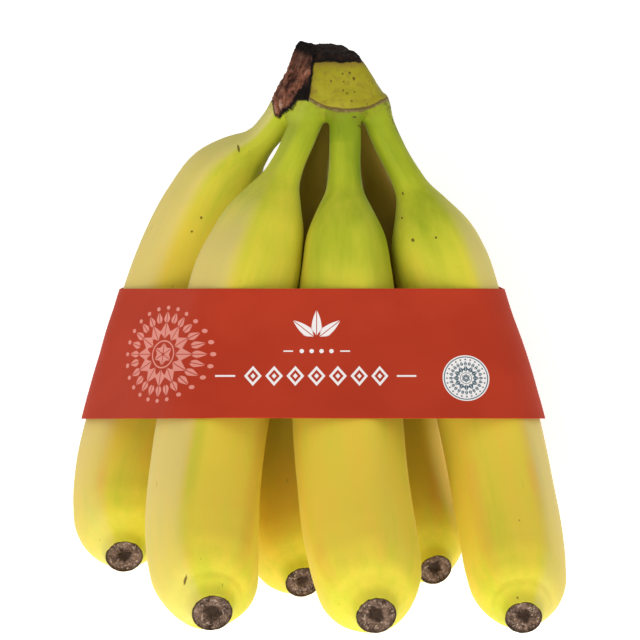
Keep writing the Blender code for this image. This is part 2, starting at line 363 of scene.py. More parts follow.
def rings_of(finger):
    """The finger's rings from seam to blossom end: shares, middles, directions, radii and tip_mm."""
    start = SEAM_AT / finger.length
    shares = [np.array([start])]
    for end, count in RING_STRETCHES:
        shares.append(np.linspace(shares[-1][-1], end, count + 1)[1:])
    shares = np.concatenate(shares)
    middle, direction = read_axis(finger, shares)
    radius = radius_at(finger, shares)
    end_radius = float(radius[-1])
    tip = (1 - shares) * finger.length
    inner = np.array(BLOSSOM_RINGS)
    middle = np.vstack((middle[:1], middle, middle[-1] - direction[-1] * inner[:, 1:], middle[-1:]))
    middle[-1] -= direction[-1] * BLOSSOM_RINGS[-1][1]
    direction = np.vstack((direction[:1], direction, np.repeat(direction[-1:], len(inner) + 1, axis=0)))
    radius = np.concatenate(([0], radius, inner[:, 0] * end_radius, [0]))
    tip = np.concatenate((tip[:1], tip, (inner[:, 0] - 1) * end_radius, [-end_radius]))
    shares = np.concatenate((shares[:1], shares, np.ones(len(inner) + 1)))
    return shares, middle, direction, radius, tip


def grow_finger(finger, number, segments):
    """One finger from the seam at its neck to its blossom end."""
    shares, middle, direction, radius, tip = rings_of(finger)
    body, ring, angle = ball_of_rings(finger.name, segments, len(radius) - 1)
    share, tip, radius = shares[ring], tip[ring], radius[ring]
    middle, direction = middle[ring], direction[ring]
    side, back = sides_of(direction)
    turned = (angle + math.radians(finger.roll))[:, None]
    outward = side * np.cos(turned) + back * np.sin(turned)
    reach = radius * ridge_factor(finger, share, angle)
    along = share * finger.length
    fibre = np.stack((reach * np.cos(angle), reach * np.sin(angle), along + FIBRE_APART * number), 1)
    dents = (1 + rough(fibre, (22, 22, 40), 3.1, 2)) * step(SEAM_AT + PAST_SEAM, SEAM_AT + 40, along)
    reach = reach - 0.3 * dents * (tip > 6)
    points = middle + outward * reach[:, None]
    # The dried blossom end: crumbs, with faint fibres that run to its middle
    spokes = np.stack((np.cos(angle) * 3, np.sin(angle) * 3, radius * 0.4), 1)
    crumbs = rough(spokes, 0.9, 5.0 + number) * 0.25 + rough(points, 1.1, 9.0, 4) * 0.8
    in_blossom = step(0.3, -0.7, tip) * step(tip.min(), tip.min() + 1.5, tip)
    points += direction * (crumbs * in_blossom)[:, None]
    move_points(body, points)
    turned = np.degrees(angle) + finger.roll
    # Painted light is stored with the rest: a pale painted sheen on the outer sides and painted shade on the
    # back row's hidden necks
    paint(body, fibre=fibre * MM, tip_mm=tip, green=ripening(finger, share), ridge=np.cos(RIDGES * angle),
          bloom=painted_sheen(finger, share, turned), streak=edge_streak(finger, share, turned),
          within=shade_within(finger, points, turned),
          **dict.fromkeys(STUMP_LAYERS, np.full(len(ring), FAR_OFF)))
    # The root is open, where the stump is sewn on
    cut_open(body, ring == 0)
    return body


def smooth_max(a, b, reach):
    """The greater of two numbers, eased over where they are less than reach apart."""
    near = np.maximum(reach - np.abs(a - b), 0) / reach
    return np.maximum(a, b) + near * near * reach / 4


def cut_distance(points, cut):
    """How far points lie beyond a cut."""
    at, normal = np.array(cut[0]), units(np.array(cut[1]))
    return (points - at) @ normal


def crown_field(points):
    """How far points lie outside the crown, in millimetres."""
    x, y, z = ((points - CROWN_MIDDLE) / CROWN_HALF).T
    narrow = 1 - CROWN_NARROWING * np.clip(y + 1, 0, 2.4) / 2
    power = CROWN_ROUNDNESS
    size = (np.abs(x / narrow) ** power + np.abs(y) ** power + np.abs(z / narrow) ** power) ** (1 / power)
    block = (size - 1) * CROWN_SCALE
    for cut, rounding in ((TOP_CUT, 1.0), (SLOPING_CUT, 1.0), (RIGHT_CUT, 2.0), (LEFT_CUT, 1.2)):
        block = smooth_max(block, cut_distance(points, cut), rounding)
    for middle, half in FLAPS:
        flap = (np.linalg.norm((points - middle) / np.array(half), axis=1) - 1) * min(half)
        block = -smooth_max(-block, -flap, 2.0)
    return block


class Necks:
    """The six necks, read from their roots inside the crown to a little past the seams."""

    def __init__(self):
        self.lines = []
        for finger in FINGERS:
            share = np.linspace(0, (SEAM_AT + PAST_SEAM) / finger.length, 48)
            middle, direction = read_axis(finger, share)
            radius = radius_at(finger, share)
            sunk = middle[0] + (CROWN_MIDDLE - middle[0]) * ROOT_SINK
            way = np.linspace(0, 1, 14)[:-1, None]
            middle = np.vstack((sunk + (middle[0] - sunk) * way, middle))
            direction = np.vstack((np.repeat(direction[:1], len(way), axis=0), direction))
            root = radius[0] * (ROOT_SLIMMING + (1 - ROOT_SLIMMING) * way[:, 0])
            self.lines.append((finger, middle, direction, np.concatenate((root, radius)),
                               np.concatenate((np.zeros(len(way)), share))))

    def read(self, points):
        """For each finger: how far each point is outside its neck, and where it is along and round it."""
        rows = []
        for finger, middle, direction, radius, share in self.lines:
            gaps = np.linalg.norm(points[:, None, :] - middle[None], axis=2)
            nearest = gaps.argmin(axis=1)
            offset = points - middle[nearest]
            side, back = sides_of(direction)
            angle = np.arctan2((offset * back[nearest]).sum(1), (offset * side[nearest]).sum(1))
            angle = angle - math.radians(finger.roll)
            reach = radius[nearest] * ridge_factor(finger, share[nearest], angle)
            rows.append((gaps.min(axis=1) - reach, share[nearest], angle, reach))
        return rows


def stump_field(points, necks):
    """The crown and the necks as one body, webbed where they meet."""
    total = crown_field(points)
    webbing = 0.05 + 4.0 * step(55, 63, points[:, 1])
    for outside, _, _, _ in necks.read(points):
        total = -smooth_max(-total, -outside, webbing)
    return total


def slope_of(field, points, middle):
    small = 0.05
    rise = [(field(points + small * np.eye(3)[k]) - middle) / small for k in range(3)]
    return np.stack(rise, axis=1)


def dark_line(points):
    """V above which the crown is dried black: lower at the front than at the back."""
    level, rise, at = DARK_LINE
    return level + rise * (at - points[:, 2])


def scar_line(points):
    """V of the scar round the crown's foot."""
    lowest, at, rise, most = SCAR
    return lowest + np.minimum(rise * (points[:, 0] - at) ** 2, most)


def dried_depth(points):
    """Millimetres into the dried top: past the dark line, or close under the cuts."""
    top = np.maximum(cut_distance(points, TOP_CUT) + 0.5, cut_distance(points, SLOPING_CUT) + 0.2)
    return np.maximum(points[:, 1] - dark_line(points), top)


def fold_depth(points):
    """Millimetres past the edge of the crown's skin, into the black fold by the torn side."""
    at, lean, level = FOLD
    front = at - lean * (level - points[:, 1]) - points[:, 0]
    return front + (cut_distance(points, LEFT_CUT) + 2 - front) * step(6, -4, points[:, 2])


def strand_distance(points):
    """Distance from the torn side's proud strand."""
    along = STRAND_END - STRAND_TOP
    part = np.clip(((points - STRAND_TOP) @ along) / (along @ along), 0, 1)
    return np.linalg.norm(points - STRAND_TOP - along * part[:, None], axis=1)


def along_strands(points):
    """Millimetres along the torn side's strands, across them and out of the torn side."""
    normal = units(np.array(LEFT_CUT[1]))
    down = units(STRAND_END - STRAND_TOP)
    down = units(down - normal * (down @ normal))
    return np.stack((points @ down, points @ np.cross(down, normal), points @ normal), 1)


def crown_weathering(points):
    """How far the crown's surface stands out for its dried cuts, torn fibre, fold and scar line."""
    torn = torn_depth(points)
    cut = dried_depth(points)
    scar = points[:, 1] - scar_line(points)
    strands = along_strands(points) / (10, 1.3, 4)
    on_torn = step(-1.6, -0.4, torn)
    proud = 1.1 * np.exp(-(strand_distance(points) / 1.3) ** 2)
    ragged = 1.1 + 1.3 * step(70, 65, points[:, 1])
    fibres = ragged * rough(strands, 1, 2.0, 5) + 0.35 * rough(points, 1.2, 7.0) + proud
    on_cut = step(-0.4, 0.6, cut) * (1 - on_torn)
    crumbs = 0.9 * rough(points, 5.0, 4.0, 4) + 0.3 * rough(points, 1.2, 8.0) - 0.5
    in_fold = step(-0.2, 0.5, fold_depth(points)) * step(-0.5, 0.5, scar) * (1 - on_torn)
    lip = 0.5 * step(-0.15, 0.25, scar) * step(3.2, 0.4, scar)
    skin = 0.12 * rough(points, 6.0, 1.0) + 0.08 * rough(points, 1.6, 3.0)
    creases = in_fold * (0.5 * rough(points, (1.0, 4.0, 1.0), 6.0) - 0.9)
    return on_torn * fibres + on_cut * crumbs + creases + (1 - on_torn) * (lip + skin)


def torn_depth(points):
    """Millimetres into the torn side: past the left cut, in the upper fold or in a hanging flap."""
    depths = [1 - np.linalg.norm((points - middle) / (np.array(half) + 0.5), axis=1)
              for middle, half in FLAPS]
    side = cut_distance(points, LEFT_CUT) - 1.2 * step(73, 69, points[:, 1])
    upper = np.minimum(fold_depth(points) - 1.5, (points[:, 1] - 74.5) * 0.6)
    return np.maximum(np.maximum(side, upper), np.max(depths, axis=0) * 5 - 1)


def turns_apart(turned, other):
    """Degrees from one turn to the other, from -180 to 180."""
    return (turned - other + 180) % 360 - 180


def painted_sheen(finger, share, turned):
    """How much pale painted sheen, a reflection painted into the colour, the peel has at this share and this
    turn round the finger, in degrees.
    """
    if finger.bloom is None:
        return np.zeros(len(turned))
    start, end, at_neck, _, _ = finger.bloom
    around = turns_apart(turned, (start + end) / 2)
    half = (end - start) / 2
    along = (at_neck + (1 - at_neck) * step(0.14, 0.3, share)) * (1 - 0.45 * step(0.72, 0.92, share))
    return step(half + 9, half - 9, np.abs(around)) * along


def edge_streak(finger, share, turned):
    """The streak along the edge of the painted sheen: above 0 orange, below 0 green."""
    if finger.bloom is None:
        return np.zeros(len(turned))
    edge, amount = finger.bloom[3:]
    across = np.exp(-(turns_apart(turned, edge) / 7) ** 2)
    return amount * across * step(0.32, 0.5, share) * step(0.96, 0.86, share)


def shade_within(finger, points, turned):
    """Painted shade: how deep the peel of the back row's necks lies hidden behind the front row, where its
    colour is darkened.
    """
    if finger.name not in ("back_middle", "back_right"):
        return np.zeros(len(points))
    return step(-0.2, 0.7, np.sin(np.radians(turned))) * step(-12, 2, points[:, 1])


def rough_stump(necks):
    """The crown and six short necks as plain bodies, fused by one remesh."""
    crown, _, _ = ball_of_rings("crown", 48, 32)
    ray = points_of(crown)
    near, far = np.zeros(len(ray)), np.full(len(ray), SURELY_OUTSIDE)
    for _ in range(HALVINGS):
        half = (near + far) / 2
        inside = crown_field(CROWN_MIDDLE + ray * half[:, None]) < 0
        near, far = np.where(inside, half, near), np.where(inside, far, half)
    move_points(crown, CROWN_MIDDLE + ray * near[:, None])
    stubs = [crown]
    for _, middle, direction, radius, _ in necks.lines:
        stub, ring, angle = ball_of_rings("stub", 24, len(radius) + 1)
        radius = np.concatenate(([0], radius, [0]))
        middle = np.vstack((middle[:1], middle, middle[-1:]))
        direction = np.vstack((direction[:1], direction, direction[-1:]))
        side, back = sides_of(direction)
        outward = side[ring] * np.cos(angle)[:, None] + back[ring] * np.sin(angle)[:, None]
        move_points(stub, middle[ring] + outward * radius[ring][:, None])
        stubs.append(stub)
    stump = pick(*stubs)
    bpy.ops.object.join()
    apply_modifier(stump, "REMESH", mode="VOXEL", voxel_size=STUMP_VOXEL, use_smooth_shade=True)
    return stump


def settle(points, field):
    """Moves points on to the surface where the field is 0. Gives them with their normals."""
    for _ in range(FIELD_STEPS):
        height = field(points)
        slope = slope_of(field, points, height)
        move = slope * (height / np.maximum((slope ** 2).sum(1), 0.05))[:, None]
        length = np.linalg.norm(move, axis=1, keepdims=True)
        points = points - move * np.minimum(1, 0.6 / np.maximum(length, 1e-9))
    return points, units(slope)


def grow_stump():
    """The crown with six short necks, fused and smoothed as one body, open where the fingers go on."""
    necks = Necks()
    stump = rough_stump(necks)
    bare, normal = settle(points_of(stump), lambda points: stump_field(points, necks))
    rows = necks.read(bare)
    outside = np.stack([row[0] for row in rows], axis=1)
    nearest = outside.argmin(axis=1)
    crown_mm = outside.min(axis=1) - crown_field(bare)
    weathered = crown_weathering(bare) * step(-1.0, 0.6, crown_mm)
    points = bare + normal * weathered[:, None]
    move_points(stump, points)

    index = np.arange(len(points))
    share, angle, reach = (np.stack([row[k] for row in rows], axis=1)[index, nearest] for k in (1, 2, 3))
    length = np.array([finger.length for finger in FINGERS])[nearest]
    along = share * length + FIBRE_APART * nearest
    fibre = np.stack((reach * np.cos(angle), reach * np.sin(angle), along), 1)
    # Here too the pale painted sheen and the painted shade of the hidden necks are worked out for each neck
    green, bloom, within = np.zeros((3, len(points)))
    beyond = np.zeros(len(points), bool)
    for number, finger in enumerate(FINGERS):
        mine = nearest == number
        turned = np.degrees(angle[mine]) + finger.roll
        green[mine] = ripening(finger, share[mine])
        bloom[mine] = painted_sheen(finger, share[mine], turned)
        within[mine] = shade_within(finger, points[mine], turned)
        middle, direction = read_axis(finger, (SEAM_AT - SEAM_GAP) / finger.length)
        past = (points - middle) @ direction > 0
        beyond |= past & (np.linalg.norm(points - middle, axis=1) < SEAM_REACH) & mine
    paint(stump, fibre=fibre * MM, tip_mm=(1 - share) * length, green=green, bloom=bloom, within=within,
          ridge=np.cos(RIDGES * angle) * 0.3, crown_mm=crown_mm, torn_mm=torn_depth(bare),
          fold_mm=fold_depth(bare), cut_mm=dried_depth(bare), scar_mm=bare[:, 1] - scar_line(bare),
          proud_mm=weathered, strand=along_strands(bare) * MM)
    # Each neck is open a little before its finger begins
    cut_open(stump, beyond)
    return stump


def sew(bunch):
    """Bridges each finger to its neck."""
    edges = bunch.data.edges
    ends = np.empty(len(edges) * 2, int)
    edges.foreach_get("vertices", ends)
    ends = ends.reshape(-1, 2)
    used = np.zeros(len(edges), int)
    loops = np.empty(len(bunch.data.loops), int)
    bunch.data.loops.foreach_get("edge_index", loops)
    np.add.at(used, loops, 1)
    points = points_of(bunch)
    middle = points[ends].mean(axis=1)
    seams = np.array([read_axis(finger, SEAM_AT / finger.length)[0] for finger in FINGERS])
    nearest = np.linalg.norm(middle[:, None] - seams[None], axis=2).argmin(axis=1)
    for number in range(len(FINGERS)):
        select_where(bunch, (used == 1) & (nearest == number), "EDGE")
        bpy.ops.mesh.bridge_edge_loops()
        bpy.ops.object.mode_set(mode="OBJECT")
        # New edges come after the old ones, so the old numbers still hold
        used = np.concatenate((used, np.full(len(bunch.data.edges) - len(used), 2)))
        nearest = np.concatenate((nearest, np.full(len(bunch.data.edges) - len(nearest), -1)))


def reckoner(operation):
    """A method of Field for one kind of sum."""
    return lambda field, *others: field.reckon(operation, *others)


class Field:
    """A socket of a material that can be reckoned with as a number."""

    def __init__(self, tree, socket):
        self.tree, self.socket = tree, socket

    def reckon(self, operation, *others):
        return self.tree.get("ShaderNodeMath", {"operation": operation}, dict(enumerate((self, *others))))

    __add__ = __radd__ = reckoner("ADD")
    __sub__ = reckoner("SUBTRACT")
    __mul__ = __rmul__ = reckoner("MULTIPLY")
    __truediv__ = reckoner("DIVIDE")
    __pow__ = reckoner("POWER")
    __abs__ = reckoner("ABSOLUTE")
    at_least = reckoner("MAXIMUM")
    at_most = reckoner("MINIMUM")
    sine = reckoner("SINE")

    def __rsub__(self, other):
        return self * -1 + other

    def fade(self, low, high):
        """0 at low, 1 at high, and smooth in between."""
        start, end = (low, high) if low < high else (high, low)
        values = {"Value": self, "From Min": start, "From Max": end}
        if low > high:
            values.update({"To Min": 1.0, "To Max": 0.0})
        return self.tree.get("ShaderNodeMapRange", {"interpolation_type": "SMOOTHSTEP"}, values)


class Finish:
    """A material and the one way nodes are added to it."""

    def __init__(self, name):
        self.material = bpy.data.materials.new(name)
        self.material.use_nodes = True
        self.nodes = self.material.node_tree.nodes
        self.links = self.material.node_tree.links
        self.shader = self.nodes["Principled BSDF"]
        self.here = self.get("ShaderNodeTexCoord", output="Object")
        self.colour = None

    def node(self, kind, settings=None, values=None):
        node = self.nodes.new(kind)
        for name, value in (settings or {}).items():
            if name == "stops":
                self.set_stops(node.color_ramp.elements, value)
            else:
                setattr(node, name, value)
        for name, value in (values or {}).items():
            self.feed(node.inputs[name], value)
        return node

    def set_stops(self, elements, stops):
        while len(elements) < len(stops):
            elements.new(1.0)
        for element, (position, colour) in zip(elements, stops):
            element.position = position
            element.color = (*colour, 1)

    def feed(self, socket, value):
        if isinstance(value, Field):
            self.links.new(value.socket, socket)
        elif socket.type == "RGBA" and len(value) == 3:
            socket.default_value = (*value, 1)
        else:
            socket.default_value = value

    def get(self, kind, settings=None, values=None, output=0):
        return Field(self, self.node(kind, settings, values).outputs[output])

    def attribute(self, name, output="Fac"):
        return self.get("ShaderNodeAttribute", {"attribute_name": name}, output=output)

    def mix(self, factor, first, second):
        return self.get("ShaderNodeMix", {"data_type": "RGBA"}, {0: factor, 6: first, 7: second}, 2)

    def stretch(self, vector, scale):
        return self.get("ShaderNodeVectorMath", {"operation": "MULTIPLY"}, {0: vector, 1: scale})

    def cloud(self, vector, scale, detail=2.0, roughness=0.5):
        values = {"Vector": vector, "Scale": scale, "Detail": detail, "Roughness": roughness}
        return self.get("ShaderNodeTexNoise", None, values)

    def split(self, vector):
        """The numbers that a vector is made of."""
        parts = self.node("ShaderNodeSeparateXYZ", None, {"Vector": vector})
        return [Field(self, part) for part in parts.outputs]

    def lay(self, mask, colour):
        """Covers the colours so far with another one where the mask is 1."""
        self.colour = self.mix(mask, self.colour, colour)

    def bump(self, height, distance):
        return self.get("ShaderNodeBump", None, {"Height": height, "Distance": distance, "Strength": 1.0})

    def finish(self, roughness, **sockets):
        values = {"Base Color": self.colour, "Roughness": roughness, **sockets}
        for name, value in values.items():
            self.feed(self.shader.inputs[name], value)
        return self.material


class Peel(Finish):
    """The peel's material, whose kinds of skin are laid one over the other."""

    def __init__(self, looks):
        super().__init__("banana_peel")
        self.looks = looks
        # U, V and W of the point being shaded, in millimetres
        x, y, z = (part - shift for part, shift in zip(self.split(self.here), SHIFT))
        self.u, self.v = x * 1000, (y * LIE_COSINE + z * LIE_SINE) * 1000
        self.w = (z * LIE_COSINE - y * LIE_SINE) * 1000
        self.fibre = self.attribute("fibre", "Vector")
        self.threads = self.cloud(self.stretch(self.fibre, (420, 420, 30)), 1.0, 3.0, 0.6)
        self.broad = self.cloud(self.here, 60.0, 3.0)
        self.mottle = self.cloud(self.here, 420.0, 4.0, 0.6)
        self.grain = self.cloud(self.here, 1400.0, 3.0, 0.6)
        self.crown, self.fold, self.cut, self.scar, self.tip = self.read(
            "crown_mm", "fold_mm", "cut_mm", "scar_mm", "tip_mm")
        self.calm = 1 - self.scar.fade(-14, -6)

    def read(self, *names):
        return [self.attribute(name) for name in names]

    def ripe_skin(self):
        """Green neck to yellow body, streaked along the fibres, with a pale painted sheen on the fingers
        that have it and painted shade on the back row's hidden necks.
        """
        looks, calm = self.looks, self.calm
        green, bloom, streak, within, ridge = self.read("green", "bloom", "streak", "within", "ridge")
        streaks = self.cloud(self.stretch(self.fibre, (110, 110, 9)), 1.0, 3.0, 0.6)
        patches = self.cloud(self.stretch(self.fibre, (40, 40, 22)), 1.0, 2.0)
        ripeness = green + (streaks - 0.5) * 0.6 * calm + (self.threads - 0.5) * 0.2 * calm
        ripeness = ripeness + (patches - 0.5) * 0.45 * calm + (self.broad - 0.5) * 0.25
        self.colour = self.get("ShaderNodeValToRGB", {"stops": (
            (0.0, looks.ripe_warm), (0.22, looks.ripe), (0.48, looks.turning), (0.72, looks.half_green),
            (1.0, looks.neck_green))}, {"Fac": ripeness})
        warm = ridge.fade(0.4, 1.0) * patches.fade(0.48, 0.62) * green.fade(0.5, 0.2)
        self.lay(warm * 0.35, looks.ridge_tint)
        # Painted sheen: a pale reflection laid into the colour of the outer sides
        pale = self.mix(green.fade(0.3, 0.7), looks.sheen_ripe, looks.sheen_green)
        self.lay(bloom * (0.4 + streaks * 0.5), pale)
        broken = 0.25 + patches.fade(0.4, 0.6) * 0.75
        self.lay(streak.fade(0.05, 0.9) * broken * 0.4, looks.ridge_tint)
        self.lay(streak.fade(-0.05, -0.9) * broken * 0.7, looks.turning)
        # Painted shade: the back row's necks are darkened where the front row hides them
        self.lay(within * 0.9, looks.painted_shade_brown)

    def specks(self):
        """Specks in the skin's cells, and bruises along its fibres."""
        cells = self.node("ShaderNodeTexVoronoi", None, {
            "Vector": self.stretch(self.fibre, (1, 1, 0.6)), "Scale": 160.0})
        distance, colour = Field(self, cells.outputs["Distance"]), Field(self, cells.outputs["Color"])
        chance = self.get("ShaderNodeSeparateColor", None, {"Color": colour})
        size = (chance - (1 - self.looks.specks)).at_least(0.0) * 0.5
        specks = (distance - size).fade(0.02, -0.02) * self.calm
        self.lay(specks * 0.7, self.looks.speck)
        bruises = self.cloud(self.stretch(self.fibre, (260, 260, 60)), 1.0, 4.0, 0.7)
        self.lay(bruises.fade(0.68, 0.76) * 0.55, self.looks.speck)
        return specks

    def crown_skin(self):
        """Olive skin of the crown, browned towards the dried top and the fold, with dark dots."""
        looks, mottle = self.looks, self.mottle
        skin = self.mix(self.broad.fade(0.35, 0.65), looks.crown_olive, looks.crown_pale)
        near_cut = (self.cut + (self.broad - 0.5) * 4.0).fade(-2.4, -0.2)
        near_fold = (self.fold + (mottle - 0.5) * 3.0).fade(-2.4, -0.2)
        for mask in (mottle.fade(0.48, 0.7) * 0.5, near_cut * 0.75, near_fold * 0.45):
            skin = self.mix(mask, skin, looks.crown_brown)
        dots = self.get("ShaderNodeTexVoronoi", None, {"Vector": self.here, "Scale": 330.0}).fade(0.15, 0.08)
        skin = self.mix(dots * mottle.fade(0.45, 0.55) * 0.7, skin, looks.speck)
        self.lay(self.scar.fade(-0.2, 0.2), skin)

    def scar_lip(self):
        """The brown lip round the crown's foot with a painted highlight along its lower edge, and the
        scuffed edge of the front right neck.
        """
        looks, mottle, scar = self.looks, self.mottle, self.scar
        edge = scar + (mottle - 0.5) * 0.9
        under = edge.fade(-6.0, -1.0) * scar.fade(0.3, -0.2) * self.crown.fade(-7, -3)
        self.lay(under * mottle.fade(0.3, 0.75) * 0.5, looks.crown_brown)
        at_crown = self.crown.fade(-3.5, -1.5) * 0.8
        # Painted highlight: a pale strip just under the dark scar line, along the lip's lower edge
        lip_highlight = self.mix(self.grain.fade(0.4, 0.65), looks.scar, looks.scar_highlight)
        self.lay(edge.fade(-0.85, -0.5) * edge.fade(0.5, 0.2) * at_crown, lip_highlight)
        self.lay(edge.fade(-0.1, 0.2) * edge.fade(0.9, 0.55) * at_crown, looks.scar)
        self.lay(self.scuff() * (mottle + self.grain * 0.5).fade(0.68, 0.85) * 0.75, looks.speck)

    def scuff(self):
        """Where the outer edge of the front right neck is scuffed."""
        (start_u, start_v), (end_u, end_v) = SCUFF
        length = math.hypot(end_u - start_u, end_v - start_v)
        along_u, along_v = (end_u - start_u) / length, (end_v - start_v) / length
        u, v = self.u - start_u, self.v - start_v
        along = u * along_u + v * along_v
        ends = along.fade(-2, 1) * along.fade(length + 3, length - 4)
        return abs(u * along_v - v * along_u).fade(1.8, 0.5) * ends * self.w.fade(-4, 2)

    def dried_top(self):
        looks, mottle = self.looks, self.mottle
        dried = (self.cut + (mottle - 0.5) * 1.6).fade(-0.3, 0.3) * self.crown.fade(-0.5, 0.5)
        self.lay(dried, self.mix(mottle.fade(0.35, 0.7), looks.black_cut, looks.dark_cut))
        return dried

    def torn_side(self):
        """Red-brown torn fibre with painted shade in its hollows and a painted highlight on its proud
        fibres, in a black rim and a black fold. Gives its mask and its strands.
        """
        looks, mottle = self.looks, self.mottle
        torn, proud = self.read("torn_mm", "proud_mm")
        ragged = self.crown + (mottle - 0.5) * 2.4
        black = (self.fold + (mottle - 0.5) * 0.8).fade(-0.2, 0.3) * self.scar.fade(-1.2, -0.6)
        black = black.at_least((torn + (mottle - 0.5) * 1.4).fade(-1.8, -1.2)) * ragged.fade(-1.0, -0.3)
        self.lay(black, looks.black_cut)
        strands = self.stretch(self.attribute("strand", "Vector"), (160, 1300, 500))
        strands = self.cloud(strands, 1.0, 4.0, 0.7)
        mask = (torn + mottle - 0.5).fade(-0.9, -0.3) * ragged.fade(-0.7, 0.0) * self.cut.fade(3.0, 0.5)
        # The colour follows the relief: darker in its hollows, as painted shade, and paler on the proud
        # fibres, as a painted highlight
        height = proud + (strands - 0.5) * 5.5 + (self.grain - 0.5) * 2.5 + (mottle - 0.5) * 1.5
        flesh = self.mix(height.fade(-1.0, 0.1), looks.torn_dark, looks.torn_red)
        flesh = self.mix(height.fade(0.3, 1.7), flesh, looks.torn_pale)
        # Darker patches of the torn face, at random and near the top cut
        dark_patches = self.cloud(self.here, 240.0, 3.0, 0.6).fade(0.46, 0.62).at_least(self.cut.fade(-2.5, -0.5))
        self.lay(mask, self.mix(dark_patches * 0.6, flesh, looks.torn_dark))
        return black.at_least(mask), strands

    def blossom_end(self):
        """Grey-brown husk with rays, pale crumbs and a dark rim and middle. Gives its mask and rays."""
        looks, tip = self.looks, self.tip
        spokes = self.get("ShaderNodeVectorMath", {"operation": "NORMALIZE"},
                          {0: self.stretch(self.fibre, (1, 1, 0))})
        rays = self.cloud(self.stretch(spokes, (4, 4, 4)), 1.0, 4.0, 0.7) * 0.4 + self.mottle * 0.6
        husk = self.mix(rays.fade(0.36, 0.6), looks.husk_dark, looks.husk)
        husk = self.mix(self.grain.fade(0.52, 0.66) * tip.fade(-4.5, -2.0), husk, looks.husk_pale)
        for mask in ((tip + (rays - 0.5) * 6.0).fade(-2.6, -3.8) * 0.9, tip.fade(-0.7, -0.1) * 0.8):
            husk = self.mix(mask, husk, looks.husk_dark)
        mask = (tip + (self.mottle - 0.5) * 1.2).fade(0.35, 0.0)
        self.lay(mask, husk)
        return mask, rays

    def nicks(self):
        """Small brown marks, placed one by one on the upper side."""
        total = None
        ragged = self.cloud(self.here, 1500.0, 3.0) * 1.6
        for at_u, at_v, wide, long, lean in MARKS:
            sine, cosine = math.sin(math.radians(lean)), math.cos(math.radians(lean))
            u, v = self.u - at_u, self.v - at_v
            across, along = (u * cosine + v * sine) / wide, (v * cosine - u * sine) / long
            mark = (across * across + along * along + ragged).fade(2.0, 1.2)
            total = mark if total is None else total.at_least(mark)
        nicks = total * self.w.fade(-4, 2)
        self.lay(nicks * 0.85, self.looks.speck)
        return nicks


def peel_finish(looks):
    """Peel from green neck to yellow body, olive crown, dried cuts and blossom ends."""
    peel = Peel(looks)
    peel.ripe_skin()
    specks = peel.specks()
    peel.crown_skin()
    peel.scar_lip()
    dried = peel.dried_top()
    torn, strands = peel.torn_side()
    blossom, rays = peel.blossom_end()
    nicks = peel.nicks()
    rotten = dried.at_least(torn).at_least(blossom)
    roughness = 0.6 + (peel.threads - 0.5) * 0.12 + rotten * 0.3
    sound_height = peel.threads * 0.25 + peel.grain * 0.12 - specks * 0.3 - nicks * 0.4
    rotten_height = peel.mottle * 1.2 + strands * 2.0 + rays * 0.5 + peel.grain * 0.6
    height = sound_height * (1 - rotten) + rotten * rotten_height
    return peel.finish(roughness, **{
        "Normal": peel.bump(height, looks.relief), "IOR": 1.45, "Specular IOR Level": 0.16,
        "Subsurface Weight": looks.softness, "Subsurface Radius": (1.0, 0.6, 0.15),
        "Subsurface Scale": 0.002})


def section_at(finger, station):
    """The oval in which a finger crosses the plane V = station: its middle and its half axes."""
    shares, points, along = axis_of(finger)
    _, direction = read_axis(finger, np.interp(-station, -points[:, 1], shares))
    radius = radius_at(finger, shares) * (1 + RIDGE_HEIGHT)
    side, back = sides_of(along)
    rim = []
    for angle in np.linspace(0, 2 * math.pi, 24, endpoint=False):
        line = points + (side * math.cos(angle) + back * math.sin(angle)) * radius[:, None]
        rim.append(read_rows(-station, -line[:, 1], line[:, ::2]))
    rim = np.array(rim)
    lean = units(direction[[0, 2]])
    axes = (lean, np.array((-lean[1], lean[0])))
    reach = [((rim @ axis).max(), (rim @ axis).min()) for axis in axes]
    middle = sum(axis * (far + near) / 2 for axis, (far, near) in zip(axes, reach))
    return [middle] + [axis * (far - near) / 2 for axis, (far, near) in zip(axes, reach)]


def taut_loops(stations, turns):
    """For each station the taut loop round the six fingers, one point for each direction."""
    outward = np.stack((np.cos(turns), np.sin(turns)), axis=1)
    loops = []
    for station in stations:
        best, furthest = None, None
        for finger in FINGERS:
            middle, long_axis, short_axis = section_at(finger, station)
            pull = np.stack((outward @ long_axis, outward @ short_axis), axis=1)
            touch = middle + (long_axis * pull[:, :1] + short_axis * pull[:, 1:]) / np.linalg.norm(
                pull, axis=1, keepdims=True)
            far = (outward * touch).sum(axis=1)
            if best is None:
                best, furthest = touch, far
            best = np.where((far > furthest)[:, None], touch, best)
            furthest = np.maximum(far, furthest)
        loops.append(best)
    return np.array(loops), outward


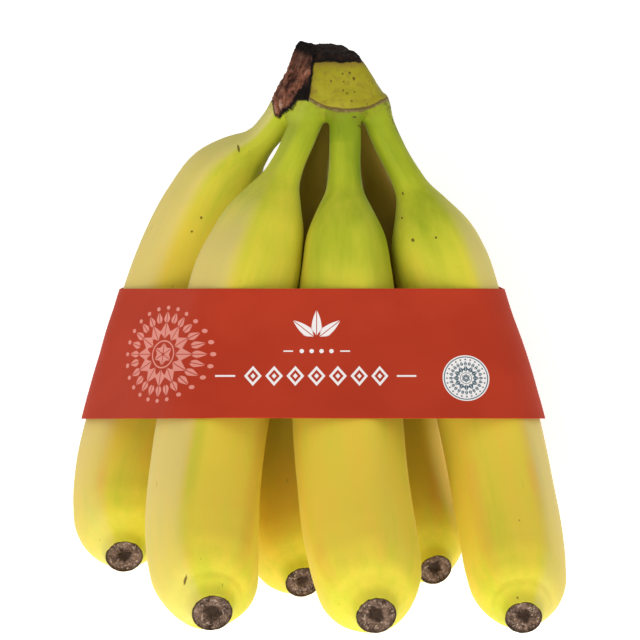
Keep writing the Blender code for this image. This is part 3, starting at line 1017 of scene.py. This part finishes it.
def band_rows(looks):
    """Rows of points down the band, each from its hidden end once round to its glued end."""
    seam = math.radians(looks.seam_angle)
    turns = seam + np.linspace(0, 2 * math.pi, BAND_TURNS, endpoint=False)
    low = min(BAND_BOTTOM[0], BAND_TOP[0]) - 8
    stations = np.linspace(low, BAND_TOP[0] + BAND_BACK_LIFT + 6, BAND_STATIONS)
    loops, outward = taut_loops(stations, turns)

    def read(station):
        place_in = (station - stations[0]) / (stations[1] - stations[0])
        below = np.clip(place_in.astype(int), 0, len(stations) - 2)
        part = (place_in - below)[:, None]
        column = np.arange(len(turns))
        point = loops[below, column] * (1 - part) + loops[below + 1, column] * part
        return point + outward * BAND_GAP

    facing_down = np.maximum(0, -outward[:, 1])
    thickness = looks.paper_thickness / MM
    rows = []
    for share in np.linspace(0, 1, looks.rows):
        edge = [top + (bottom - top) * share for top, bottom in zip(BAND_TOP, BAND_BOTTOM)]
        across = read(np.full(len(turns), edge[0]))
        station = edge[0] + edge[1] * across[:, 1] + BAND_BACK_LIFT * facing_down ** 2
        ring = read(station)
        ring = np.stack((ring[:, 0], station, ring[:, 1]), axis=1)
        # Points evenly spaced along the paper, with the overlap at the end
        ring = np.vstack((ring, ring[:1]))
        normal = np.vstack((outward, outward[:1]))
        length = np.concatenate(([0], np.cumsum(np.linalg.norm(np.diff(ring, axis=0), axis=1))))
        overlap = looks.overlap / MM
        travel = np.linspace(0, length[-1] + overlap, looks.steps)
        at = np.where(travel > length[-1], travel - length[-1], travel)
        points = read_rows(at, length, ring)
        out = units(read_rows(at, length, normal))
        rise_from, rise_to = GLUE_RISE
        lift = (thickness + GLUE_GAP) * step(length[-1] - rise_from, length[-1] - rise_to, travel)
        points[:, ::2] += out * lift[:, None]
        rows.append((points, travel))
    return rows


def wrap_paper(looks):
    """The band as one strip of paper with its two ends glued over each other."""
    points, travel = (np.array(part) for part in zip(*band_rows(looks)))
    deselect()
    bpy.ops.mesh.primitive_grid_add(x_subdivisions=looks.steps - 1, y_subdivisions=looks.rows - 1, size=2)
    strip = bpy.context.object
    strip.name = strip.data.name = "band_paper_strip"
    grid = points_of(strip)
    column = np.rint((grid[:, 0] + 1) / 2 * (looks.steps - 1)).astype(int)
    row = np.rint((1 - grid[:, 1]) / 2 * (looks.rows - 1)).astype(int)
    travel_in_front = []
    for line, way in zip(points, travel):
        front = line[:, 2] > 0
        order = np.argsort(line[front, 0])
        travel_in_front.append(np.interp(FRONT_U, line[front, 0][order], way[front][order]))
    travel_in_front = np.array(travel_in_front)
    move_points(strip, points[row, column])
    sheet = np.stack(((travel_in_front[:, None] - travel)[row, column],
                      row / (looks.rows - 1) * (BAND_TOP[0] - BAND_BOTTOM[0]), np.zeros(len(row))), axis=1)
    paint(strip, sheet=sheet * MM)
    return strip


def leaves(radius, turn, count, inner, outer, widest):
    """Leaf shapes that stand round a middle, each with a thin rib left free."""
    from_axis = abs((turn * (count / 2)).sine()) * radius * (2 / count)
    along = (radius - inner) / (outer - inner)
    half = (along.at_least(0.0).at_most(1.0) * math.pi).sine() * widest
    return (half - from_axis).fade(-0.02, 0.1) * from_axis.fade(0.06, 0.2)


def polar(across, down):
    """Distance and turn round a point of the sheet."""
    return (across * across + down * down) ** 0.5, across.reckon("ARCTAN2", down)


def circle(radius, at, half):
    """A drawn circle, twice as thick as half."""
    return abs(radius - at).fade(half + 0.06, half - 0.06)


def rosette(radius, turn):
    """A round pattern of leaves, rings and beads, 32 across."""
    pattern = leaves(radius, turn, 6, 0.3, 3.9, 1.0)
    pattern = pattern.at_least(leaves(radius, turn, 12, 4.9, 10.6, 1.35)).at_least(circle(radius, 4.4, 0.24))
    pattern = pattern.at_least(leaves(radius, turn, 24, 9.4, 14.2, 0.95) * radius.fade(10.2, 10.8))
    beads = abs((turn * 12).sine()) * radius / 12
    beads = ((radius - 15.2) * (radius - 15.2) + beads * beads).fade(0.52, 0.36)
    return pattern.at_least(beads)


def centre_piece(x, y):
    """Three leaves over a row of open lozenges between two short rules."""
    radius, turn = polar(x, y - SPRIG_AT)
    upward = math.pi - abs(turn)
    sprig = leaves(radius, upward, 7.2, 0.8, 9.6, 1.25) * upward.fade(1.35, 1.25)
    spread = x.reckon("PINGPONG", LOZENGE_STEP / 2)
    lozenge = spread / 2.7 + abs(y - LOZENGES_AT) / 3.3
    lozenges = lozenge.fade(1.02, 0.96) * (1 - lozenge.fade(0.66, 0.60) * lozenge.fade(0.24, 0.30))
    lozenges = lozenges * abs(x).fade(LOZENGE_STEP * 3.5 + 0.1, LOZENGE_STEP * 3.5)
    rules = abs(y - LOZENGES_AT).fade(0.34, 0.24) * abs(abs(x) - 27.6).fade(3.1, 3.0)
    bead, down = (x - 1.5).reckon("PINGPONG", 1.5), y - BEADS_AT
    beads = (bead * bead + down * down).fade(0.52, 0.4) * abs(x).fade(6.1, 6.0)
    dashes = abs(down).fade(0.26, 0.18) * abs(abs(x) - 8.6).fade(1.5, 1.4)
    return sprig.at_least(lozenges).at_least(rules).at_least(beads).at_least(dashes)


def paper_finish(looks):
    """Matte printed paper with a plain pattern of leaves, beads and lozenges."""
    paper = Finish("band_paper")
    x, y = (part * 1000 for part in paper.split(paper.attribute("sheet", "Vector"))[:2])
    tooth = paper.cloud(paper.here, 2600.0, 3.0)
    paper.colour = looks.ink_red
    paper.lay(paper.cloud(paper.here, 45.0, 2.0).fade(0.3, 0.7), looks.ink_red_deep)
    paper.lay((tooth - 0.5) * 0.25, looks.ink_red_deep)
    radius, turn = polar((x - ROSETTE_AT[0]) / ROSETTE_WIDENING, y - ROSETTE_AT[1])
    paper.lay(rosette(radius, turn) * 0.9, looks.ink_salmon)
    radius, turn = polar(x - SEAL_AT[0], y - SEAL_AT[1])
    seal = radius.fade(SEAL_RADIUS, SEAL_RADIUS - 0.1)
    paper.lay(centre_piece(x, y).at_least(seal) * 0.95, looks.ink_white)
    inner = rosette(radius / 0.4, turn).at_least(circle(radius, 6.9, 0.16))
    paper.lay(inner * seal * 0.95, looks.ink_teal)
    return paper.finish(0.75 + (tooth - 0.5) * 0.1, **{
        "Normal": paper.bump(tooth, PAPER_RELIEF), "Specular IOR Level": 0.15})


def tint(name, description, *colour):
    """A colour that the user may change."""
    return FloatVectorProperty(name=name, description=description, subtype="COLOR", default=colour)


def quantity(name, description, value, **more):
    """A number that the user may change, a whole one if its default is whole."""
    kind = IntProperty if isinstance(value, int) else FloatProperty
    return kind(name=name, description=description, default=value, **more)


def measure(name, description, metres):
    """A length that the user may change."""
    return quantity(name, description, metres, subtype="DISTANCE", unit="LENGTH")


def watts(name, description, power):
    """The power of a light, which the user may change."""
    return quantity(name, description, power, unit="POWER")


class BunchLooks(bpy.types.PropertyGroup):
    """Sizes and colours of the fruit."""

    segments: quantity("Segments", "Points round each finger", 72, min=24, max=96)
    specks: quantity("Specks", "Share of the peel's cells that hold a speck", 0.15, min=0, max=1)
    softness: quantity("Softness", "Light that the peel lets in", 0.12, min=0, max=1)
    relief: measure("Relief", "Height of the finest relief", 0.0004)
    ripe_warm: tint("Ripest", "Warmest yellow of the peel", 0.80, 0.55, 0.055)
    ripe: tint("Ripe", "Yellow of the peel", 0.74, 0.58, 0.052)
    turning: tint("Turning", "Greenish yellow of the shoulders", 0.56, 0.54, 0.036)
    half_green: tint("Half green", "Peel between shoulder and neck", 0.40, 0.44, 0.020)
    neck_green: tint("Neck green", "Green of the necks", 0.205, 0.275, 0.007)
    ridge_tint: tint("Ridge tint", "Orange bloom along the ridges", 0.80, 0.42, 0.06)
    # Painted sheen: the pale reflection of the outer sides, laid into the peel's colour
    sheen_ripe: tint("Bloom", "Pale bloom on ripe peel", 0.69, 0.54, 0.20)
    sheen_green: tint("Green bloom", "Pale bloom near the neck", 0.63, 0.53, 0.23)
    # Painted shade on the back row's necks where the front row hides them, not a browning of the peel
    painted_shade_brown: tint("Inner brown", "Browned peel between the two rows", 0.15, 0.085, 0.003)
    speck: tint("Specks", "Brown of specks and scratches", 0.10, 0.055, 0.012)
    crown_olive: tint("Crown olive", "Peel of the crown", 0.265, 0.235, 0.008)
    crown_pale: tint("Crown pale", "Paler patches of the crown", 0.34, 0.30, 0.016)
    crown_brown: tint("Crown brown", "Browned patches of the crown", 0.22, 0.14, 0.02)
    scar: tint("Scar line", "Line round the crown's foot", 0.10, 0.055, 0.018)
    # A painted highlight just under the scar line
    scar_highlight: tint("Scar pale", "Dry skin along the scar", 0.26, 0.17, 0.08)
    black_cut: tint("Black", "Blackest dried skin", 0.008, 0.005, 0.004)
    dark_cut: tint("Dark cut", "Dried cut", 0.030, 0.015, 0.010)
    # Painted shade in the torn face's hollows
    torn_dark: tint("Torn dark", "Hollows of the torn face", 0.035, 0.014, 0.01)
    torn_red: tint("Torn red", "Torn fibre", 0.24, 0.088, 0.050)
    # Pale fibre on the torn face, with a painted highlight where it stands out
    torn_pale: tint("Torn pale", "Dry fibre on the torn face", 0.46, 0.26, 0.20)
    husk: tint("Husk", "Dried blossom end", 0.17, 0.105, 0.072)
    husk_dark: tint("Husk dark", "Hollows of the blossom end", 0.035, 0.02, 0.012)
    husk_pale: tint("Husk pale", "Dry crumbs of the blossom end", 0.36, 0.26, 0.19)


class BandLooks(bpy.types.PropertyGroup):
    """Sizes and colours of the paper band."""

    paper_thickness: measure("Paper", "Thickness of the paper", 0.00035)
    overlap: measure("Overlap", "Length of paper that is glued over itself", 0.014)
    seam_angle: quantity("Seam", "Direction in which the glued end lies, in degrees", -52.0)
    steps: quantity("Steps", "Points along the paper", 420, min=60, max=900)
    rows: quantity("Rows", "Points across the paper", 15, min=3, max=60)
    ink_salmon: tint("Salmon", "Printed rosettes", 0.78, 0.30, 0.24)
    ink_white: tint("White", "Paper left white", 0.9, 0.88, 0.86)
    ink_teal: tint("Teal", "Printed pattern of the small seal", 0.02, 0.085, 0.12)
    ink_red: tint("Red", "Printed red", 0.47, 0.040, 0.013)
    ink_red_deep: tint("Deep red", "Printed red where it lies thicker", 0.43, 0.034, 0.011)


class StageLooks(bpy.types.PropertyGroup):
    """The floor, the light and the camera."""

    floor: tint("Floor", "Colour of the floor", 0.96, 0.96, 0.96)
    glow: quantity("Glow", "Light from the floor itself, as from a light table", 0.42)
    focal_length: quantity("Focal length", "Lens of the camera, in millimetres", 138.46)
    shift: quantity("Shift", "Raises the camera's frame, in pixels of 640", -6.0)
    key_power: watts("Key light", "Power of the key light", 4.95)
    fill_power: watts("Fill light", "Power of the fill light", 2.2)
    low_power: watts("Low light", "Power of the light at the blossom ends", 3.0)
    sky: quantity("Sky", "Strength of the light from all round", 0.56)


class GrowBunch(bpy.types.Operator):
    """Grow the crown and its six fingers as one body"""

    bl_idname = "bananas.grow_bunch"
    bl_label = "Grow Bunch"

    def execute(self, context):
        looks = context.scene.bunch_looks
        fingers = [grow_finger(finger, number, looks.segments) for number, finger in enumerate(FINGERS)]
        bunch = pick(grow_stump(), *fingers)
        bpy.ops.object.join()
        bunch.name = bunch.data.name = "banana_bunch_skin"
        sew(bunch)
        move_points(bunch, place(points_of(bunch)))
        edit(bunch)
        # The bellies are flat where the bunch rests
        bpy.ops.mesh.bisect(plane_co=(0, 0, 0), plane_no=(0, 0, 1), use_fill=True, clear_inner=True)
        bpy.ops.mesh.select_all(action="SELECT")
        bpy.ops.mesh.dissolve_degenerate(threshold=SHORTEST_EDGE)
        bpy.ops.mesh.normals_make_consistent(inside=False)
        bpy.ops.object.mode_set(mode="OBJECT")
        bpy.ops.object.shade_smooth()
        bunch.data.materials.clear()
        bunch.data.materials.append(peel_finish(looks))
        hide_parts("banana_bunch")
        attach(bunch, "root")
        return {"FINISHED"}


class WrapBand(bpy.types.Operator):
    """Wrap the paper band round the six fingers"""

    bl_idname = "bananas.wrap_band"
    bl_label = "Wrap Band"

    def execute(self, context):
        looks = context.scene.band_looks
        band = wrap_paper(looks)
        move_points(band, place(points_of(band)))
        edit(band)
        bpy.ops.mesh.normals_make_consistent(inside=False)
        apply_modifier(band, "SOLIDIFY", thickness=looks.paper_thickness, offset=1.0)
        bpy.ops.object.shade_smooth_by_angle(angle=math.radians(40))
        band.data.materials.clear()
        band.data.materials.append(paper_finish(looks))
        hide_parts("paper_band")
        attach(band, "root")
        return {"FINISHED"}


def add_light(name, place_at, size, power):
    """A soft square light, turned to the bunch."""
    data = bpy.data.lights.new(name, "AREA")
    data.energy = power
    data.size = size
    light = bpy.data.objects.new(name, data)
    bpy.context.scene.collection.objects.link(light)
    light.location = place_at
    light.rotation_euler = (Vector(LIGHTS_AIM) - Vector(place_at)).to_track_quat("-Z", "Y").to_euler()


class SetStage(bpy.types.Operator):
    """Lay the floor, hang the lights and set up the camera"""

    bl_idname = "bananas.set_stage"
    bl_label = "Set Stage"

    def execute(self, context):
        looks = context.scene.stage_looks
        scene = context.scene
        deselect()
        bpy.ops.mesh.primitive_plane_add(size=FLOOR_WIDTH, location=(0, 0, 0))
        floor = context.object
        floor.name = "floor"
        plain = Finish("floor_white")
        plain.colour = looks.floor
        floor.data.materials.append(plain.finish(0.8, **{
            "Emission Color": (1, 1, 1), "Emission Strength": looks.glow}))
        scene.view_settings.view_transform = "Standard"
        world = bpy.data.worlds.new("studio")
        world.use_nodes = True
        background = world.node_tree.nodes["Background"]
        background.inputs["Color"].default_value = (1, 1, 1, 1)
        background.inputs["Strength"].default_value = looks.sky
        scene.world = world
        for name, (place_at, size) in LIGHTS.items():
            add_light(name, place_at, size, getattr(looks, name + "_power"))
        lens = bpy.data.cameras.new("camera")
        lens.lens = looks.focal_length
        lens.sensor_width = 36
        lens.clip_start = 0.01
        lens.shift_y = looks.shift / PICTURE_WIDTH
        camera = bpy.data.objects.new("camera", lens)
        scene.collection.objects.link(camera)
        camera.location = place((0, 0, CAMERA_DISTANCE))
        camera.rotation_euler = (LIE_ANGLE, 0, 0)
        scene.camera = camera
        return {"FINISHED"}


class BananaPanel(bpy.types.Panel):
    """Lists the pieces of the bunch"""

    bl_idname = "VIEW3D_PT_bananas"
    bl_label = "Bunch of Bananas"
    bl_space_type = "VIEW_3D"
    bl_region_type = "UI"
    bl_category = "Bananas"

    def draw(self, context):
        for operator in (GrowBunch, WrapBand, SetStage):
            self.layout.operator(operator.bl_idname)
        for name in ("bunch_looks", "band_looks", "stage_looks"):
            group = getattr(context.scene, name)
            column = self.layout.column(align=True)
            for field in group.__annotations__:
                column.prop(group, field)


CLASSES = (BunchLooks, BandLooks, StageLooks, GrowBunch, WrapBand, SetStage, BananaPanel)
GROUPS = {"bunch_looks": BunchLooks, "band_looks": BandLooks, "stage_looks": StageLooks}


def register():
    for made in CLASSES:
        bpy.utils.register_class(made)
    for name, group in GROUPS.items():
        setattr(bpy.types.Scene, name, PointerProperty(type=group))


def unregister():
    for name in GROUPS:
        delattr(bpy.types.Scene, name)
    for made in reversed(CLASSES):
        bpy.utils.unregister_class(made)


def main():
    register()
    bpy.ops.bananas.grow_bunch()
    bpy.ops.bananas.wrap_band()
    bpy.ops.bananas.set_stage()


if __name__ == "__main__":
    main()
